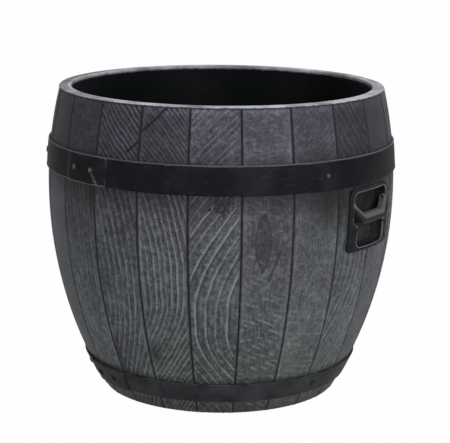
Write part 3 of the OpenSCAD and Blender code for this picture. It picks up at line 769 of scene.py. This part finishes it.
HOOP_IRON = iron_paint("hoop_iron", (0.0050, 0.0053, 0.0067, 1), (0.062, 0.063, 0.069, 1), 0.55)
print("finish:", HOOP_IRON.name)

# %% The hoop tree
HOOP_T = 2.5
HOOP_COLUMNS, HOOP_ROWS = 14, 760
HOOP_SIZES = {
    "Height": 346.0, "Width": 40.0, "Start": 0.0, "Sweep": 380.0, "Lap": 20.0, "Ramp": 3.0, "Seed": 1.0,
    "Dust": 0.0, "Wear": 1.0, "Streak": 0.0,
}
# The rest of the section, after the outer face: a rounded edge, the inner face, the other rounded edge.
# Each corner has its drop from the outer face, its distance in from the edge, and its side.
HOOP_EDGE = ((0.0, 0.9), (0.25, 0.25), (0.9, 0.0), (HOOP_T, 0.0))
HOOP_CORNERS = [(drop, in_by, 1) for drop, in_by in HOOP_EDGE]
HOOP_CORNERS += [(drop, in_by, -1) for drop, in_by in reversed(HOOP_EDGE)]
# The pale run: its two ends, as lengths from the strip's end and heights from the strip's middle
RUN_ENDS, RUN_WIDTH = (25, -5, 13, -21), 3.2


def hoop_tree():
    g, size = start_tree("lapped_hoop", HOOP_SIZES)
    half = size["Width"] / 2
    grid, place, row = closed_grid(g, HOOP_COLUMNS + len(HOOP_CORNERS) - 1, HOOP_ROWS)
    step = g.most(place - HOOP_COLUMNS, 0.0)
    on_face = place < HOOP_COLUMNS + 0.5
    face_h = (place / HOOP_COLUMNS * 2 - 1) * (half - HOOP_EDGE[0][1])
    edge_h = pick(g, step, [side for _, _, side in HOOP_CORNERS]) * half
    edge_h = edge_h - pick(g, step, [side * in_by for _, in_by, side in HOOP_CORNERS])
    drop = pick(g, step, [drop for drop, _, _ in HOOP_CORNERS])
    h = 0 - g.blend(on_face, edge_h, face_h)

    share, ends = along_rows(g, row, HOOP_ROWS)
    along = share * size["Sweep"]
    climb = g.rise((along - size["Sweep"] + size["Lap"]) / size["Ramp"], 0.0, 1.0) * HOOP_T
    dents = g.noise(g.vector(along / 7, h / 30, size["Seed"] * 9))
    inside = g.rise(half - abs(h), 0.9, 3.5)
    lift = HOOP_T - drop - on_face * inside * g.rise(dents, 0.3, 0.8) * 0.45

    # Lay the strip on the barrel's curve
    h = h * (1 - ends)
    lift = g.blend(ends, lift, HOOP_T / 2) + climb + SEAT
    tilt = g.maths("ARCSINE", (size["Height"] - BILGE_Z) / BEND_R) + h / BEND_R
    radius = (lift + BEND_R) * g.maths("COSINE", tilt) + CENTRE_R
    z = (lift + BEND_R) * g.maths("SINE", tilt) + BILGE_Z

    # Pale edges, from wear and, along the top edge, a painted highlight: along the top edge, less along most
    # of the bottom edge, and at the strip's end
    to_end = (1 - share) * size["Sweep"] * (BILGE_R * DEGREE)
    below = 0.15 + 0.85 * g.rise(to_end, 430, 300)
    edge = g.most(g.rise(half - h, 3.0, 0.9), below * g.rise(half + h, 3.4, 1.0))
    edge = g.most(edge, 0.15 * g.rise(to_end, 2.0, 0.2))
    mesh = keep(g, grid, "edge", edge * size["Wear"])
    mesh = keep(g, mesh, "dust", size["Dust"])
    mesh = keep(g, mesh, "streak", line_mark(g, to_end, h, RUN_ENDS, RUN_WIDTH) * size["Streak"])
    end_tree(g, roll_up(g, mesh, radius, (size["Start"] + along) * DEGREE, z), size["Material"])
    return g


HOOP_TREE = hoop_tree()
print("hoop tree:", len(HOOP_TREE.tree.nodes), "nodes")

# %% Make the hoops
LAP_L, RAMP_L = 84, 12
HOOPS = {
    "upper": {"Height": UPPER_HOOP_Z, "Width": 40, "Seed": 1, "Dust": 0.0, "Wear": 1.0, "Streak": 1},
    "lower": {"Height": LOWER_HOOP_Z, "Width": 33, "Seed": 2, "Dust": 0.8, "Wear": 0.55, "Streak": 0},
}
LAP_END = {"upper": -93, "lower": -98}


def make_hoop(which):
    height = HOOPS[which]["Height"]
    lap, ramp = degrees_along(LAP_L, height), degrees_along(RAMP_L, height)
    bent = {"Start": LAP_END[which] - lap + ramp, "Sweep": 360 + lap - ramp, "Lap": lap, "Ramp": ramp}
    hoop = make_piece(which + "_hoop_strip", HOOP_TREE, HOOP_IRON, {**HOOPS[which], **bent})
    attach(hoop, "barrel")
    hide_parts(which + "_hoop")
    return hoop


for which in HOOPS:
    print(which, "hoop:", len(make_hoop(which).data.polygons), "faces")

# %% [markdown]
# ## Rivets and nails
#
# Two rivets close each lap and three nails keep each hoop from slipping. They are all one shape, a
# shank under a low dome, set square on the barrel. One tree makes a stud and puts copies of it where
# its inputs say, which is what Instance on Points is for.

# %% The stud tree
STUD_SIZES = {
    "Count": 2.0, "First": 0.0, "Step": 8.0, "Height": 346.0, "Lift": 5.1, "Head": 5.0, "Dome": 2.2,
    "Shank": 2.5, "Length": 5.0, "Wear": 1.0,
}
STUD_SEGMENTS, DOME_ROWS = 24, 6


def stud_tree():
    g, size = start_tree("studs", STUD_SIZES)
    # Rows: the end of the shank, its shoulder, the rim of the head, and the dome up to its pole
    grid, place, row = closed_grid(g, STUD_SEGMENTS, DOME_ROWS + 2)
    turn = place * (2 * math.pi / STUD_SEGMENTS)
    climb = g.share((row - 1) / DOME_ROWS) * (math.pi / 2)
    on_shank = row < 0.5
    radius = g.blend(on_shank, size["Head"] * g.maths("COSINE", climb), size["Shank"] * (1 - (row < -0.5)))
    z = g.blend(on_shank, size["Dome"] * g.maths("SINE", climb), 0 - size["Length"])
    # Pale towards the crest of the dome: wear, and a painted highlight where it catches the light
    mesh = keep(g, grid, "edge", g.rise(climb, 0.3, 1.3) * (1 - on_shank) * size["Wear"])
    mesh = roll_up(g, mesh, radius, turn, z)

    # One point for each stud, square on the barrel's curve
    count = g.node("GeometryNodePoints", None, {"Count": size["Count"]})
    around = (size["First"] + g.node("GeometryNodeInputIndex") * size["Step"]) * DEGREE
    slope = (size["Height"] - BILGE_Z) / BEND_R
    flat = g.maths("SQRT", 1 - slope * slope)
    out = size["Lift"] + BEND_R
    spot = g.polar(out * flat + CENTRE_R, around, out * slope + BILGE_Z, MM)
    points = g.node("GeometryNodeSetPosition", None, {"Geometry": count, "Position": spot})
    stand = g.node("FunctionNodeAlignRotationToVector", {"axis": "Z"},
                   {"Vector": g.polar(flat, around, slope)})
    studs = g.node("GeometryNodeInstanceOnPoints", None,
                   {"Points": points, "Instance": mesh, "Rotation": stand})
    end_tree(g, studs, size["Material"])
    return g


STUD_TREE = stud_tree()
print("stud tree:", len(STUD_TREE.tree.nodes), "nodes")

# %% Make the rivets and nails
RIVET_IRON = iron_paint("rivet_iron", (0.012, 0.012, 0.013, 1), (0.085, 0.085, 0.080, 1), 0.5)
NAIL_IRON = iron_paint("nail_iron", (0.010, 0.010, 0.011, 1), (0.050, 0.050, 0.053, 1), 0.5)
RIVET = {"Count": 2, "Lift": 2 * HOOP_T + 2 * SEAT, "Head": 5, "Dome": 2.2, "Shank": 2.5, "Length": 5}
NAIL = {"Count": 3, "Lift": HOOP_T + 2 * SEAT, "Head": 4.5, "Dome": 1.4, "Shank": 1.5, "Length": 12}
# From the strip's end to the first rivet, and on to the second
RIVET_IN, RIVET_STEP = 26, 34
FIRST_NAIL = {"upper": -21, "lower": -12.5}
# The upper hoop's studs are paler than the lower one's: painted highlight as well as wear
STUD_PALE_EDGES = {"upper": 1.0, "lower": 0.15}
for which in HOOPS:
    height = HOOPS[which]["Height"]
    shared = {"Height": height, "Wear": STUD_PALE_EDGES[which]}
    first, step = degrees_along(RIVET_IN, height), degrees_along(RIVET_STEP, height)
    rivets = make_piece(which + "_rivet_heads", STUD_TREE, RIVET_IRON,
                        {**RIVET, **shared, "First": LAP_END[which] - first, "Step": -step})
    nails = make_piece(which + "_nail_heads", STUD_TREE, NAIL_IRON,
                       {**NAIL, **shared, "First": FIRST_NAIL[which], "Step": 360 / NAIL["Count"]})
    for piece, node, finish in ((rivets, "_hoop_rivets", "rivet_iron"), (nails, "_hoop_nails", "nail_iron")):
        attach(piece, "barrel")
        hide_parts(which + node)
print("studs: rivets and nails on", len(HOOPS), "hoops")

# %% [markdown]
# ## The cast handles
#
# The plates and bails are sand castings: every edge is soft, and the black paint is rubbed pale where
# hands and sacks touch it. The measured solids have the right shape but knife-sharp edges. Rebuilding
# such a solid from small cubes, and then relaxing it a little, gives the soft edges of a casting. How
# far each point stands above its neighbours then tells where the paint would wear. Along the bail and
# along the outlines of the plate's two windows it is paler still, as wear from hands and as a painted
# highlight where those edges catch the light, and dust settles in the cup.


# %% Where a handle wears and gets painted highlights
# The bail's upper edge is flat in the middle and then rises with its arms
# The pale band along the bail's top is a painted highlight as well as hand wear
BAIL_TOP, BAIL_FOOT, BAIL_FLAT, ARM_RISE, TOP_BAND = 285.5, 273, 50, 0.893, 7
# The plate's windows: half width, lower and upper height, corner radius
WINDOWS = [(44.5, 269.5, 316, 12), (35, 239, 267, 9.5)]


def wear_of(mesh, spread):
    """How far each point bulges out, from 0 to 1, averaged over its neighbours `spread` times."""
    points, normals = np.empty((2, len(mesh.vertices), 3))
    mesh.vertices.foreach_get("co", points.reshape(-1))
    mesh.vertices.foreach_get("normal", normals.reshape(-1))
    ends = np.empty(len(mesh.edges) * 2, int)
    mesh.edges.foreach_get("vertices", ends)
    a, b = ends.reshape(-1, 2).T
    count = np.bincount(np.concatenate((a, b)), minlength=len(points))[:, None]

    def around(values):
        total = np.zeros_like(values)
        np.add.at(total, a, values[b])
        np.add.at(total, b, values[a])
        return total / count

    bulge = ((points - around(points)) * normals).sum(1, keepdims=True)
    for _ in range(spread):
        bulge = (bulge + around(bulge)) / 2
    return bulge[:, 0]


def bail_lit_and_rubbed(points):
    """1 along the top of a bail, where the hand takes hold of it and a highlight is painted for light from
    above, less along its foot, and 0 between.
    """
    top = BAIL_TOP + np.clip(np.abs(points[:, 1]) - BAIL_FLAT / 2, 0, None) * ARM_RISE
    foot = np.clip((BAIL_FOOT + 2 - points[:, 2]) / 1.5, 0, 1)
    return np.maximum(np.clip((points[:, 2] - top + TOP_BAND) / 1.5, 0, 1), 0.6 * foot)


def window_rims(points):
    """Up to 1 on the plate's face along the outlines of its two windows: wear, and painted highlight where
    they catch the light.
    """
    worn_and_lit = np.zeros(len(points))
    for half_w, low, high, corner in WINDOWS:
        over_y = np.abs(points[:, 1]) - half_w + corner
        over_z = np.abs(points[:, 2] - (low + high) / 2) - (high - low) / 2 + corner
        off = np.hypot(np.clip(over_y, 0, None), np.clip(over_z, 0, None)) - corner
        off = np.where(np.maximum(over_y, over_z) < 0, np.maximum(over_y, over_z) - corner, off)
        worn_and_lit = np.maximum(worn_and_lit, np.clip(1.6 - np.abs(off - 0.8) / 1.5, 0, 1))
    return 0.62 * worn_and_lit * (np.hypot(points[:, 0], points[:, 1]) > BILGE_R)


# The pale tops and window outlines are painted highlight as well as wear
print("wear: on the bails' tops and around", len(WINDOWS), "windows")


# %% Cast a copy of a solid
# Dust lies further in than this radius, and less above this height
DUST_R, DUST_Z = BILGE_R - 4, 268


def cast(node, name, grain, material, rubbed_and_lit):
    """A soft-edged copy of a solid, rebuilt from cubes of `grain` millimetres. The last argument tells
    where it is paler: wear and painted highlight.
    """
    rough = bmesh.new()
    rough.from_mesh(nodes[node].data)
    bmesh.ops.remove_doubles(rough, verts=rough.verts, dist=0.000002)
    mesh = bpy.data.meshes.new(name)
    rough.to_mesh(mesh)
    rough.free()
    piece = bpy.data.objects.new(name, mesh)
    scene.collection.objects.link(piece)
    cubes = piece.modifiers.new("cubes", "REMESH")
    cubes.mode, cubes.voxel_size = "VOXEL", grain * MM
    relax = piece.modifiers.new("relax", "SMOOTH")
    relax.factor, relax.iterations = 0.5, 4
    evaluated = piece.evaluated_get(bpy.context.evaluated_depsgraph_get())
    piece.data = bpy.data.meshes.new_from_object(evaluated)
    piece.modifiers.clear()
    bpy.data.meshes.remove(mesh)
    piece.data.name = name
    piece.data.shade_smooth()
    bulge = wear_of(piece.data, 2)
    points = np.array([vertex.co for vertex in piece.data.vertices]) / MM
    edge = np.clip(bulge / np.percentile(bulge, 99), 0, 1)
    edge = np.clip(edge * 0.5 + rubbed_and_lit(points), 0, 1)
    reach = np.hypot(points[:, 0], points[:, 1])
    dust = np.clip((DUST_R - reach) / 3, 0, 1) * np.where(points[:, 2] > DUST_Z, 0.4, 1)
    for label, values in (("edge", edge), ("dust", dust)):
        piece.data.attributes.new(label, "FLOAT", "POINT").data.foreach_set("value", values)
    piece.data.materials.clear()
    piece.data.materials.append(material)
    return piece


print("casting ready")

# %% Make the handles
PLATE_GRAIN, BAIL_GRAIN = 0.8, 0.6
HANDLE_IRON = iron_paint("handle_iron", (0.0095, 0.0100, 0.0110, 1), (0.095, 0.097, 0.102, 1), 0.5, 0.0004)
BAIL_IRON = iron_paint("bail_iron", (0.015, 0.0155, 0.017, 1), (0.068, 0.069, 0.073, 1), 0.5, 0.0004)
for side in ("right", "left"):
    plate = cast(side + "_handle_plate", side + "_plate_casting", PLATE_GRAIN, HANDLE_IRON, window_rims)
    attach(plate, "barrel")
    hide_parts(side + "_handle_plate")
    bail = cast(side + "_handle_bail", side + "_bail_casting", BAIL_GRAIN, BAIL_IRON, bail_lit_and_rubbed)
    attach(bail, side + "_bail")
    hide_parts(side + "_handle_bail")
    print(side, "handle:", len(plate.data.polygons), "and", len(bail.data.polygons), "faces")

# %% [markdown]
# ## The liner
#
# The liner is one moulding in black plastic. The inside is painted darker still, as painted shade in the
# pot, so it looks near black, but the flange on top weathers: dust and sun turn it a soft grey. Along the
# far side and at the left the flange is painted darker, as painted shade. One material does all of it,
# because it reads how high a point lies, how far out, and on which side. Its solid is fine enough to
# keep, so only the finish is new.


# %% The liner's plastic
FAR_TURN, LEFT_TURN = math.radians(117), math.radians(202)


def liner_plastic():
    material, g, shader = start_material("liner_plastic", specular=0.02)
    place = g.on_object()
    x, y, z = g.parts(place)
    cloud = g.noise(place, 16.0, 4.0, 0.6)
    speck = g.noise(place, 600.0, 2.0, 0.6)
    chip = g.noise(place, 150.0, 3.0, 0.6)
    radius = g.length(x, y)

    # The flange's top, which reaches lower on its inner edge, with chips along its outer one
    inner = g.rise(radius, 0.224, 0.220)
    low = g.blend(inner, 0.4386, 0.4343)
    high = g.blend(inner, 0.4399, 0.4393)
    chipped = z + (chip - 0.5) * 0.003 * g.rise(z, 0.4400, 0.4396)
    on_top = g.rise((chipped - low) / (high - low), 0.0, 1.0)

    # Painted shade: the flange is darker along the far side and at the left
    far_side = x * math.cos(FAR_TURN) + y * math.sin(FAR_TURN)
    left_side = x * math.cos(LEFT_TURN) + y * math.sin(LEFT_TURN)
    left_shade = g.rise(left_side, 0.180, 0.200) * g.rise(radius, 0.2195, 0.2235)
    shade = g.most(g.rise(far_side, 0.205, 0.232), left_shade * 1.3)
    top = g.tint(g.rise(cloud, 0.3, 0.7), (0.13, 0.13, 0.146, 1), (0.39, 0.39, 0.428, 1))
    top = g.tint(shade * 0.5, top, (0.045, 0.050, 0.052, 1))
    # Black plastic inside, painted darker still as painted shade in the pot
    inside = g.tint(g.rise(cloud, 0.4, 0.8), (0.0020, 0.0029, 0.0033, 1), (0.0050, 0.0058, 0.0064, 1))
    inside = g.tint(g.rise(radius, 0.230, 0.233), inside, (0.040, 0.040, 0.048, 1))
    colour = g.tint(on_top, inside, top)
    surface(g, shader, colour, 0.52 + 0.2 * (speck - 0.5), speck + cloud * 2, 0.0002, 0.5)
    return material


def dress(node, material):
    """Gives a solid that keeps its shape a better finish."""
    mesh = nodes[node].data
    for slot in range(len(mesh.materials)):
        mesh.materials[slot] = material
    if not mesh.materials:
        mesh.materials.append(material)


dress("liner", liner_plastic())
print("liner dressed")

# %% [markdown]
# ## What the camera doesn't see
#
# The head is five plain oak boards, greyed by damp, with beech dowels between them. Pins and screws are
# small turned steel. They keep their solid shapes, but each still gets its own finish, because the
# planter may be turned over or taken apart later.


# %% The plain woods and steels
def plain_wood(name, pale, dark, grain):
    """Oak or beech: fibres along X, a few millimetres apart."""
    material, g, shader = start_material(name)
    x, y, z = g.parts(g.on_object())
    fibre = g.noise(g.vector(x * 0.05, y, z), grain, 4.0, 0.65)
    ring = g.noise(g.vector(x * 0.03, y, z), grain / 6, 2.0, 0.5)
    shade = g.rise(fibre, 0.3, 0.72) * 0.6 + g.rise(ring, 0.35, 0.7) * 0.4
    surface(g, shader, g.tint(shade, dark, pale), 0.7, fibre, 0.0006, 0.7)
    return material


def turned_steel(name, colour, metallic, roughness, specular=0.5):
    """Turned steel, darker in small spots."""
    material, g, shader = start_material(name, metallic, specular)
    stain = g.noise(g.on_object(), 240.0, 3.0, 0.6)
    spotted = [0.55 * part for part in colour[:3]] + [1]
    g.plug(g.tint(g.rise(stain, 0.4, 0.7), colour, spotted), shader.inputs["Base Color"])
    g.plug(roughness + 0.2 * (stain - 0.5), shader.inputs["Roughness"])
    return material


HEAD_WOOD = plain_wood("head_wood", (0.135, 0.110, 0.085, 1), (0.050, 0.042, 0.036, 1), 420.0)
DOWEL_WOOD = plain_wood("dowel_wood", (0.46, 0.33, 0.20, 1), (0.31, 0.21, 0.12, 1), 600.0)
PIN_STEEL = turned_steel("pin_steel", (0.12, 0.12, 0.125, 1), 0.8, 0.4)
SCREW_STEEL = turned_steel("screw_steel", (0.010, 0.0105, 0.012, 1), 0.0, 0.6, 0.05)
for node in nodes:
    if node.startswith("head_board"):
        dress(node, HEAD_WOOD)
    elif node.endswith("_pins"):
        dress(node, PIN_STEEL)
    elif node.endswith("_screws"):
        dress(node, SCREW_STEEL)
dress("head_dowels", DOWEL_WOOD)
print("dressed: head, dowels, pins and screws")

# %% [markdown]
# ## Floor, light and camera
#
# The photograph was taken in a bright white studio. The floor is pale and sends soft light up, but the
# camera sees it as white, which Light Path's camera ray allows without pouring light on the object.
# Only under the barrel's foot does the floor show as it is. The light itself is plain: a broad lamp
# from the right and front, one above, a weaker one from the left, and an even sky.


# %% The floor
FLOOR_HALF = 30.0
# The floor shows as it is inside the first radius, and nearly all white outside the second
FOOT_NEAR, FOOT_FAR, WHITE_SHARE = 0.166, 0.171, 0.985


def seen(g):
    """1 for the rays that show a surface to the camera, also in a mirror or through glass."""
    path = g.node("ShaderNodeLightPath", None, None, "Is Camera Ray")
    return g.most(g.most(path, path.other("Is Glossy Ray")), path.other("Is Transmission Ray"))


def build_floor():
    mesh = bpy.data.meshes.new("floor")
    corners = [(x * FLOOR_HALF, y * FLOOR_HALF, 0) for x, y in ((-1, -1), (1, -1), (1, 1), (-1, 1))]
    mesh.from_pydata(corners, [], [(0, 1, 2, 3)])
    floor = bpy.data.objects.new("floor", mesh)
    scene.collection.objects.link(floor)
    material, g, shader = start_material("studio_floor")
    shader.inputs["Base Color"].default_value = (0.80, 0.80, 0.80, 1)
    shader.inputs["Roughness"].default_value = 0.9
    white = g.node("ShaderNodeEmission", None, {"Color": (1, 1, 1, 1), "Strength": 1.0})
    x, y, _ = g.parts(g.on_object())
    outside = g.rise(g.length(x, y), FOOT_NEAR, FOOT_FAR)
    shown = g.node("ShaderNodeMixShader", None,
                   {0: seen(g) * outside * WHITE_SHARE, 1: Value(g, shader.outputs[0]), 2: white})
    g.plug(shown, g.tree.nodes["Material Output"].inputs["Surface"])
    mesh.materials.append(material)
    floor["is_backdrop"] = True


build_floor()
print("floor:", 2 * FLOOR_HALF, "metres wide")


# %% The sky
def build_world():
    world = bpy.data.worlds.new("studio")
    scene.world = world
    world.use_nodes = True
    g = Graph(world.node_tree)
    sky = g.node("ShaderNodeBackground", None, {"Color": (0.93, 0.95, 1.0, 1), "Strength": 0.30})
    white = g.node("ShaderNodeBackground", None, {"Color": (1, 1, 1, 1), "Strength": 1.0})
    both = g.node("ShaderNodeMixShader", None, {0: seen(g), 1: sky, 2: white})
    g.plug(both, g.tree.nodes["World Output"].inputs["Surface"])


build_world()
print("sky:", scene.world.name)


# %% A lamp
def lamp(name, place, aim, size, power, colour):
    """A round lamp at a place, turned towards its aim."""
    data = bpy.data.lights.new(name, "AREA")
    data.shape, data.size, data.energy, data.color = "DISK", size, power, colour
    light = bpy.data.objects.new(name, data)
    light.location = place
    light.rotation_euler = (Vector(aim) - Vector(place)).to_track_quat("-Z", "Y").to_euler()
    scene.collection.objects.link(light)


print("lamps can be set up")

# %% The camera
CAMERA_TURN, CAMERA_DISTANCE, CAMERA_HEIGHT = -55.5, 2233.9, 735.1
CAMERA_PITCH, CAMERA_ROLL, FOCAL_PIXELS, AXIS_PIXEL = 12.585, 0.564, 1552.5, 220.4
PHOTO_WIDTH = 450
SENSOR = 36.0


def build_camera():
    """The camera that the barrel's outline, rim and hoops in the photograph were fitted with."""
    turn, pitch, roll = (math.radians(a) for a in (CAMERA_TURN, CAMERA_PITCH, CAMERA_ROLL))
    spot = Vector((math.cos(turn) * CAMERA_DISTANCE, math.sin(turn) * CAMERA_DISTANCE, CAMERA_HEIGHT)) * MM
    yaw = math.atan((PHOTO_WIDTH / 2 - AXIS_PIXEL) / FOCAL_PIXELS)
    heading = turn + math.pi - yaw
    ahead = Vector((math.cos(heading), math.sin(heading), 0)) * math.cos(pitch)
    ahead.z = -math.sin(pitch)
    right = ahead.cross(Vector((0, 0, 1))).normalized()
    up = right.cross(ahead)
    cos, sin = math.cos(roll), math.sin(roll)
    right, up = right * cos + up * sin, up * cos - right * sin
    data = bpy.data.cameras.new("camera")
    data.sensor_width = SENSOR
    data.lens = FOCAL_PIXELS / PHOTO_WIDTH * SENSOR
    camera = bpy.data.objects.new("camera", data)
    camera.matrix_world = Matrix((
        (right.x, up.x, -ahead.x, spot.x), (right.y, up.y, -ahead.y, spot.y),
        (right.z, up.z, -ahead.z, spot.z), (0, 0, 0, 1)))
    scene.collection.objects.link(camera)
    scene.camera = camera
    return right, ahead


right, ahead = build_camera()
scene.view_settings.view_transform = "Standard"
print("lens:", round(scene.camera.data.lens, 1), "mm")

# %% The lamps, in metres and watts
centre = Vector((0, 0, 0.22))
level = Vector((ahead.x, ahead.y, 0)).normalized()
lamp("key", centre - level * 1.9 + right * 1.1 + Vector((0, 0, 0.9)), centre, 1.6, 44, (1.0, 0.99, 0.97))
lamp("top", centre + Vector((0.2, 0.1, 2.0)), centre, 1.6, 26, (1.0, 1.0, 1.0))
lamp("fill", centre - level * 1.7 - right * 1.5 + Vector((0, 0, 0.6)), centre, 2.0, 14, (0.96, 0.98, 1.0))
print("lamps:", len(bpy.data.lights))

# %% [markdown]
# ## Measure
#
# The dressed planter's size is printed beside the measured one's.

# %% Write the sizes
shown_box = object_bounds()
for label, box in (("measured:", cad_box), ("shown:", shown_box)):
    print(label, [round(length / MM, 1) for length in box[1]], "mm")
